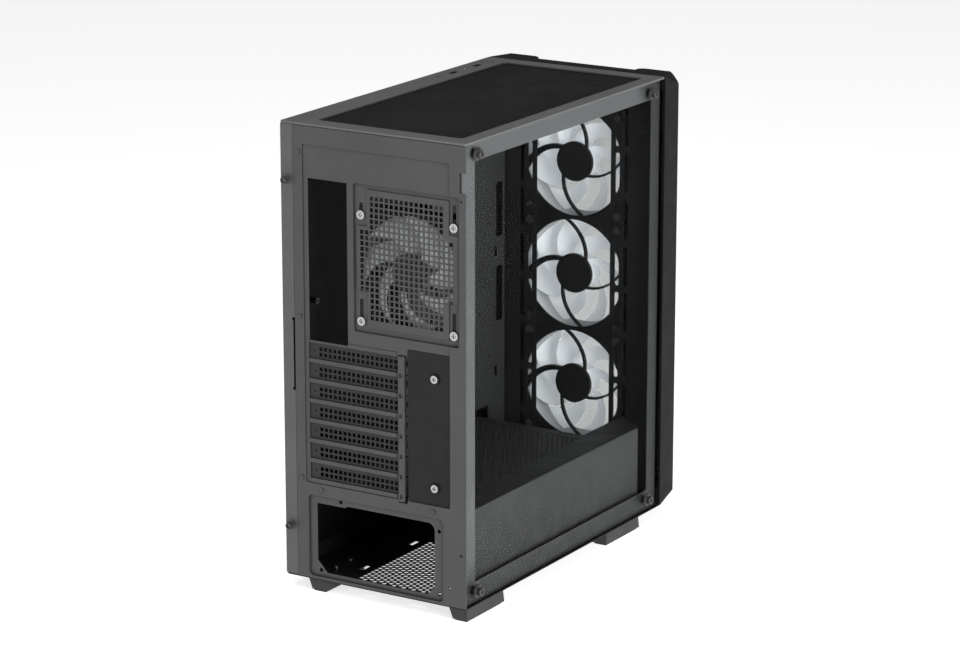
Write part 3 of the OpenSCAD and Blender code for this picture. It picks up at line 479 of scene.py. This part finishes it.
def perforated(build, x0, y0, x1, y1, low, high, columns, rows, hole_x, hole_y):
    """A plate with rows of oval holes, every other row half a pitch over."""
    half_x, half_y = (x1 - x0) / columns / 2, (y1 - y0) / rows / 2
    outer, inner = hole_ring(half_x, half_y, hole_x, hole_y)
    for row in range(rows):
        cy = y0 + (2 * row + 1) * half_y
        shift = half_x if row % 2 else 0
        if shift:
            build.box((x0, cy - half_y, low), (x0 + half_x, cy + half_y, high))
            build.box((x1 - half_x, cy - half_y, low), (x1, cy + half_y, high))
        for col in range(columns - (1 if shift else 0)):
            cx = x0 + (2 * col + 1) * half_x + shift
            verts = [(cx + x, cy + y, z) for z in (low, high) for ring in (outer, inner) for x, y in ring]
            faces = []
            for i in range(8):
                j = (i + 1) % 8
                faces.append((16 + i, 16 + j, 24 + j, 24 + i))
                faces.append((i, 8 + i, 8 + j, j))
                faces.append((8 + i, 24 + i, 24 + j, 8 + j))
            build.add(verts, faces)


def shroud_top():
    """Power supply shroud: a solid border round a field of fine oval holes."""
    low, high = lo_hi("psu_shroud_top")
    wall = lo_hi("psu_shroud_side")[0]
    edge_y = high.y - 292.5 * MM
    arm_x = low.x + 34.7 * MM
    field = (low.x + 30 * MM, edge_y + 13 * MM, high.x - 17 * MM, high.y - 16 * MM)
    z0, z1 = low.z, high.z
    build = Build()
    columns = round((field[2] - field[0]) / (5.9 * MM))
    rows = round((field[3] - field[1]) / (5.1 * MM))
    perforated(build, *field, z0, z1, columns, rows, 2.25 * MM, 1.75 * MM)
    build.prism([(low.x, wall.y), (arm_x, low.y), (arm_x, edge_y), (field[0], field[1]),
                 (field[0], high.y), (low.x, high.y)], z0, z1)
    build.prism([(arm_x, edge_y), (high.x, edge_y), (high.x, field[1]), (field[0], field[1])], z0, z1)
    build.box((field[2], field[1], z0), (high.x, high.y, z1))
    build.box((field[0], field[3], z0), (field[2], high.y, z1))
    obj = piece("shroud_top_sheet", build, "chassis", "inner_paint", material=SHROUD_TOP_PAINT)
    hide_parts("psu_shroud_top")


# ---- fans ----

BLADES = 7
BLADE_SWEEP = 46
ROOT_CHORD = 40
CHORD_TAPER = 5
BLADE_CAMBER = 1.2 * MM
HUB_RADIUS = 20 * MM
INTAKE_PHASE = 17


def blade_point(u, v, side, hub, tip, z0, z1):
    """A point on a blade: u runs along the chord, v from the hub to the tip, side is -1 or 1."""
    radius = hub + (tip - hub) * v
    sweep = math.radians(BLADE_SWEEP) * v ** 1.25
    chord = math.radians(ROOT_CHORD - CHORD_TAPER * v)
    camber = math.sin(math.pi * u) * BLADE_CAMBER
    half = (0.25 + 1.1 * math.sin(math.pi * (u ** 0.7)) ** 0.8) * MM * (1 - 0.35 * v)
    angle = sweep - chord * (1 - u)
    height = z0 + (z1 - z0) * u + camber + side * half
    return (radius * math.cos(angle), radius * math.sin(angle), height)


def impeller(node_name, outward, phase, blade_material=None, cap_material=None):
    """Rotor with a rounded hub cap and curved, tapering blades.

    outward is the sign of Y on the hub cap's side; phase turns the blades, in degrees.
    """
    low, high = lo_hi(node_name)
    mid = (low + high) / 2
    tip = (high.x - low.x) / 2
    hub = HUB_RADIUS
    depth = high.y - low.y
    z0, z1 = 5.2 * MM, depth - 2.2 * MM
    build = Build()
    chord_steps, span_steps = 10, 9
    row = chord_steps + 1
    for blade in range(BLADES):
        turn = 2 * math.pi * blade / BLADES + math.radians(phase)
        cos, sin = math.cos(turn), math.sin(turn)
        verts = []
        for side in (-1, 1):
            for j in range(span_steps + 1):
                for i in range(row):
                    x, y, z = blade_point(i / chord_steps, j / span_steps, side, hub - 1 * MM,
                                          tip - 0.4 * MM, z0, z1)
                    verts.append((x * cos - y * sin, x * sin + y * cos, z))
        faces = []
        layer = row * (span_steps + 1)
        for j in range(span_steps):
            for i in range(chord_steps):
                a = j * row + i
                faces.append((a, a + 1, a + row + 1, a + row))
                faces.append((layer + a, layer + a + row, layer + a + row + 1, layer + a + 1))
        rim = list(range(row)) + [j * row + row - 1 for j in range(1, span_steps + 1)]
        rim += [span_steps * row + i for i in reversed(range(row - 1))]
        rim += [j * row for j in reversed(range(1, span_steps))]
        for a, b in zip(rim, rim[1:] + rim[:1]):
            faces.append((a, layer + a, layer + b, b))
        build.add(verts, faces)
    base = mid.copy()
    base.y = low.y if outward > 0 else high.y
    place = along((0, outward, 0), base)
    obj = piece(node_name + "_blades", build, body_of(node_name), "blade_plastic", material=blade_material,
                matrix=place, smooth=35)
    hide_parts(node_name)
    cap = Build()
    hub_low, hub_high = 2.2 * MM, depth - 0.1 * MM
    cap.lathe([(hub - 1.2 * MM, hub_low), (hub, hub_low + 0.8 * MM), (hub, hub_high - 2.5 * MM),
               (hub - 0.7 * MM, hub_high - 1 * MM), (hub - 2.5 * MM, hub_high - 0.3 * MM),
               (hub - 6 * MM, hub_high)], 64)
    piece(node_name + "_hub", cap, body_of(node_name), "blade_plastic", material=cap_material, matrix=place,
          smooth=35)


def duct_highlight_ring(frame_name):
    """Pale ring that lines the bore of an intake fan's frame: painted light standing in for the lit duct
    wall.
    """
    low, high = lo_hi(frame_name)
    place = centre(frame_name)
    place.y = low.y + 1 * MM
    depth = high.y - low.y - 3 * MM
    ring(frame_name + "_liner", along((0, 1, 0), place), 57.95 * MM, 57.3 * MM, depth, "chassis",
         "fan_plastic", DUCT_HIGHLIGHT)


# ---- thumbscrews, sockets and other small pieces ----

WINDOW_CORNERS = ("rear_top", "rear_low", "front_top", "front_low")


def knurled_screw(node_name, axis, shank_r):
    """Thumbscrew with a knurled head, a collar and a round recess; axis points out of the head."""
    low, high = lo_hi(node_name)
    mid = (low + high) / 2
    out = Vector(axis)
    along_axis = [abs(a) for a in axis].index(1)
    top = high[along_axis] if axis[along_axis] > 0 else low[along_axis]
    length = high[along_axis] - low[along_axis]
    head = (high.z - low.z) / 2
    base = mid.copy()
    base[along_axis] = top
    knob = head - 1.1 * MM
    rise = -4.4 * MM

    def knurl(angle, radius, height):
        if height < rise + 0.3 * MM or height > -0.5 * MM or radius < knob - 0.2 * MM:
            return radius
        return radius - 0.28 * MM * (1 - abs(math.sin(angle * 18)))
    build = Build()
    build.lathe([(shank_r, -length), (shank_r, rise - 1.2 * MM), (head - 0.3 * MM, rise - 1.2 * MM),
                 (head, rise - 0.8 * MM), (head, rise - 0.3 * MM), (knob, rise), (knob, rise + 0.4 * MM),
                 (knob, -0.9 * MM), (knob - 0.2 * MM, -0.4 * MM), (knob - 0.8 * MM, 0),
                 (2.5 * MM, 0), (2.3 * MM, -0.4 * MM), (1.9 * MM, -1.5 * MM), (0.4 * MM, -1.6 * MM)],
                108, knurl)
    obj = piece(node_name + "_knurled", build, body_of(node_name), "black_screw",
                matrix=along(out, base), smooth=40)
    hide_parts(node_name)


def washer(name, place, body):
    """Rubber washer with rounded edges under a window screw."""
    build = Build()
    profile = [(2.5, -3.9), (4.4, -3.9), (4.4, 0), (6.4, 0), (6.9, 0.3), (7.0, 0.7), (6.7, 1.05), (6.0, 1.18),
               (3.4, 1.18), (2.5, 0.9)]
    build.hoop([(radius * MM, height * MM) for radius, height in profile], 48)
    return piece(name, build, body, "rubber", matrix=along((-1, 0, 0), place), smooth=50)


def window_washers():
    glass = lo_hi("glass_panel")[0]
    for corner in WINDOW_CORNERS:
        place = centre("window_screw_" + corner)
        place.x = glass.x
        washer("washer_" + corner, place, "glass")
    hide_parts("glass_washers")


def socket_liner(name, x, y, top, half_x, half_y):
    """Folded steel shell of a USB socket."""
    build = Build()
    wall = 0.35 * MM
    depth = 7 * MM
    build.box((x - half_x, y - half_y, top - depth), (x - half_x + wall, y + half_y, top))
    build.box((x + half_x - wall, y - half_y, top - depth), (x + half_x, y + half_y, top))
    build.box((x - half_x + wall, y - half_y, top - depth), (x + half_x - wall, y - half_y + wall, top))
    build.box((x - half_x + wall, y + half_y - wall, top - depth), (x + half_x - wall, y + half_y, top))
    piece(name, build, "chassis", "screw_steel", material=SOCKET_STEEL)


def ring(name, matrix, outer, inner, height, body, slot, material=None):
    """Flat turned ring with softened edges, standing on the matrix's origin along its Z."""
    build = Build()
    soft = min(height, outer - inner) * 0.25
    build.hoop([(inner, 0), (outer, 0), (outer, height - soft), (outer - soft, height),
                (inner + soft, height), (inner, height - soft)], 64)
    piece(name, build, body, slot, material=material, matrix=matrix, smooth=50)


def top_controls():
    """Steel liners in the sockets, a ring round each button and the lamp's lens."""
    power = centre("power_button")
    reset = centre("reset_button")
    cover_top = lo_hi("top_cover")[1].z
    line_x = power.x
    first = power.y + 22 * MM
    second = first + 46 * MM
    jack = first + 24 * MM
    lamp = power.y + 110 * MM
    for name, y in (("usb_shell_front", first), ("usb_shell_rear", second)):
        socket_liner(name, line_x, y, cover_top - 0.45 * MM, 2.85 * MM, 6.45 * MM)
    ring("jack_ring", Matrix.Translation((line_x, jack, cover_top - 1.2 * MM)), 3.6 * MM, 1.85 * MM,
         1.15 * MM, "chassis", "screw_steel", SOCKET_STEEL)
    ring_z = lo_hi("power_button")[1].z - 1.3 * MM
    ring_height = 1.28 * MM
    ring("power_ring", Matrix.Translation((line_x, power.y, ring_z)), 6.28 * MM, 5.2 * MM, ring_height,
         "power", "button_plastic", SOCKET_STEEL)
    ring("reset_ring", Matrix.Translation((line_x, reset.y, ring_z)), 3.98 * MM, 3.1 * MM, ring_height,
         "reset", "button_plastic", SOCKET_STEEL)
    build = Build()
    build.lathe([(1.35 * MM, -2 * MM), (1.35 * MM, 0), (1.0 * MM, 0.25 * MM), (0.4 * MM, 0.35 * MM)], 32)
    piece("lamp_lens", build, "chassis", "button_plastic", material=LAMP_LENS,
          matrix=Matrix.Translation((line_x, lamp, cover_top - 0.6 * MM)), smooth=40)


# ---- build the visual pieces ----

# width of each node's softened edges, in millimetres
SOFT_EDGES = {
    "rear_panel": 0.25, "window_frame": 0.3, "cable_side_frame": 0.3, "top_cover": 0.35, "front_wall": 0.3,
    "board_tray": 0.3, "tray_cable_strip": 0.3, "psu_shroud_side": 0.4, "slot_clamp_strip": 0.25,
    "slot_ledge": 0.25, "slot_access_cover": 0.25, "front_panel_shell": 0.6, "cable_side_panel": 0.45,
    "foot_rear_window": 0.7, "foot_rear_cable": 0.7, "foot_front_window": 0.7, "foot_front_cable": 0.7,
    "foot_pads": 0.3, "rear_fan_frame": 0.5, "low_fan_frame": 0.5, "mid_fan_frame": 0.5, "top_fan_frame": 0.5,
    "rear_fan_screws": 0.25, "access_cover_screws": 0.25, "front_fan_screws": 0.4, "slot_cover_screws": 0.3,
    "foot_screws": 0.3, "frame_rivets": 0.3, "power_button": 0.5, "reset_button": 0.4, "glass_panel": 0.4,
    "drive_tray_lower": 0.4, "drive_tray_upper": 0.4, "drive_cage": 0.3, "board_standoffs": 0.2,
}


def finish_cad_nodes():
    """Gives every CAD node its material, and the nodes listed in SOFT_EDGES softened edges."""
    for name, obj in NODES.items():
        obj.data.materials.clear()
        obj.data.materials.append(OWN_MATERIAL.get(name) or MATERIALS[slot_of(name)])
        if name in SOFT_EDGES:
            add_bevel(obj, SOFT_EDGES[name] * MM)


finish_cad_nodes()
front_mesh()
top_filter()
shroud_top()
for fan in ("low", "mid", "top"):
    impeller(fan + "_fan_rotor", -1, INTAKE_PHASE)
    duct_highlight_ring(fan + "_fan_frame")
impeller("rear_fan_rotor", 1, 0, SHADED_BLADE, HUB_CAP)
for corner in WINDOW_CORNERS:
    knurled_screw("window_screw_" + corner, (-1, 0, 0), 1.9 * MM)
for end in ("top", "low"):
    knurled_screw("panel_screw_" + end, (0, 1, 0), 1.7 * MM)
window_washers()
top_controls()


# ---- camera, floor and light ----

LOOK_AT = Vector((0.0063, 0.0038, 0.2258))
CAMERA_AZIMUTH = 211.73
CAMERA_ELEVATION = 15.28
CAMERA_DISTANCE = 3.522
LENS_MM = 130.75
SENSOR_MM = 36
FLOOR_SIZE = 6
WORLD_STRENGTH = 0.16


def direction(azimuth, elevation):
    """Unit vector from the object towards a camera at that azimuth and elevation, in degrees."""
    a, e = math.radians(azimuth), math.radians(elevation)
    return Vector((math.sin(a) * math.cos(e), -math.cos(a) * math.cos(e), math.sin(e)))


def camera():
    data = bpy.data.cameras.new("camera")
    data.lens = LENS_MM
    data.sensor_width = SENSOR_MM
    data.clip_end = 50
    obj = bpy.data.objects.new("camera", data)
    back = direction(CAMERA_AZIMUTH, CAMERA_ELEVATION)
    obj.location = LOOK_AT + back * CAMERA_DISTANCE
    obj.rotation_euler = back.to_track_quat("Z", "Y").to_euler()
    bpy.context.scene.collection.objects.link(obj)
    bpy.context.scene.camera = obj


def floor():
    """Plain pale floor that stretches past the view."""
    build = bmesh.new()
    bmesh.ops.create_grid(build, x_segments=1, y_segments=1, size=FLOOR_SIZE)
    mesh = bpy.data.meshes.new("floor")
    build.to_mesh(mesh)
    build.free()
    mat, tree = new_material("floor")
    bsdf = node(tree, "ShaderNodeBsdfPrincipled", Roughness=0.9, Emission_Strength=0.72)
    bsdf.inputs["Specular IOR Level"].default_value = 0.1
    bsdf.inputs["Emission Color"].default_value = (1, 1, 1, 1)
    tree.links.new(shade(tree, (0.8, 0.8, 0.8), 0.01, 3), bsdf.inputs["Base Color"])
    surface(tree, bsdf)
    mesh.materials.append(mat)
    obj = bpy.data.objects.new("floor", mesh)
    bpy.context.scene.collection.objects.link(obj)


def area_light(name, azimuth, elevation, distance, size, power):
    """Square lamp that faces the object's middle; metres, degrees and watts."""
    data = bpy.data.lights.new(name, "AREA")
    data.size = size
    data.energy = power
    obj = bpy.data.objects.new(name, data)
    back = direction(azimuth, elevation)
    obj.location = LOOK_AT + back * distance
    obj.rotation_euler = back.to_track_quat("Z", "Y").to_euler()
    bpy.context.scene.collection.objects.link(obj)


def lights():
    world = bpy.data.worlds.new("studio")
    bpy.context.scene.world = world
    world.use_nodes = True
    back = world.node_tree.nodes["Background"]
    back.inputs[0].default_value = (1, 1, 1, 1)
    back.inputs[1].default_value = WORLD_STRENGTH
    area_light("window_key", 250, 11, 2.4, 1.4, 57)
    area_light("top_fill", 200, 78, 2.2, 1.6, 24)
    area_light("cable_side_fill", 150, 16, 2.8, 1.4, 14)


def view_settings():
    scene = bpy.context.scene
    scene.view_settings.view_transform = "Standard"
    scene.cycles.transparent_max_bounces = 24
    scene.cycles.max_bounces = 10


camera()
floor()
lights()
view_settings()
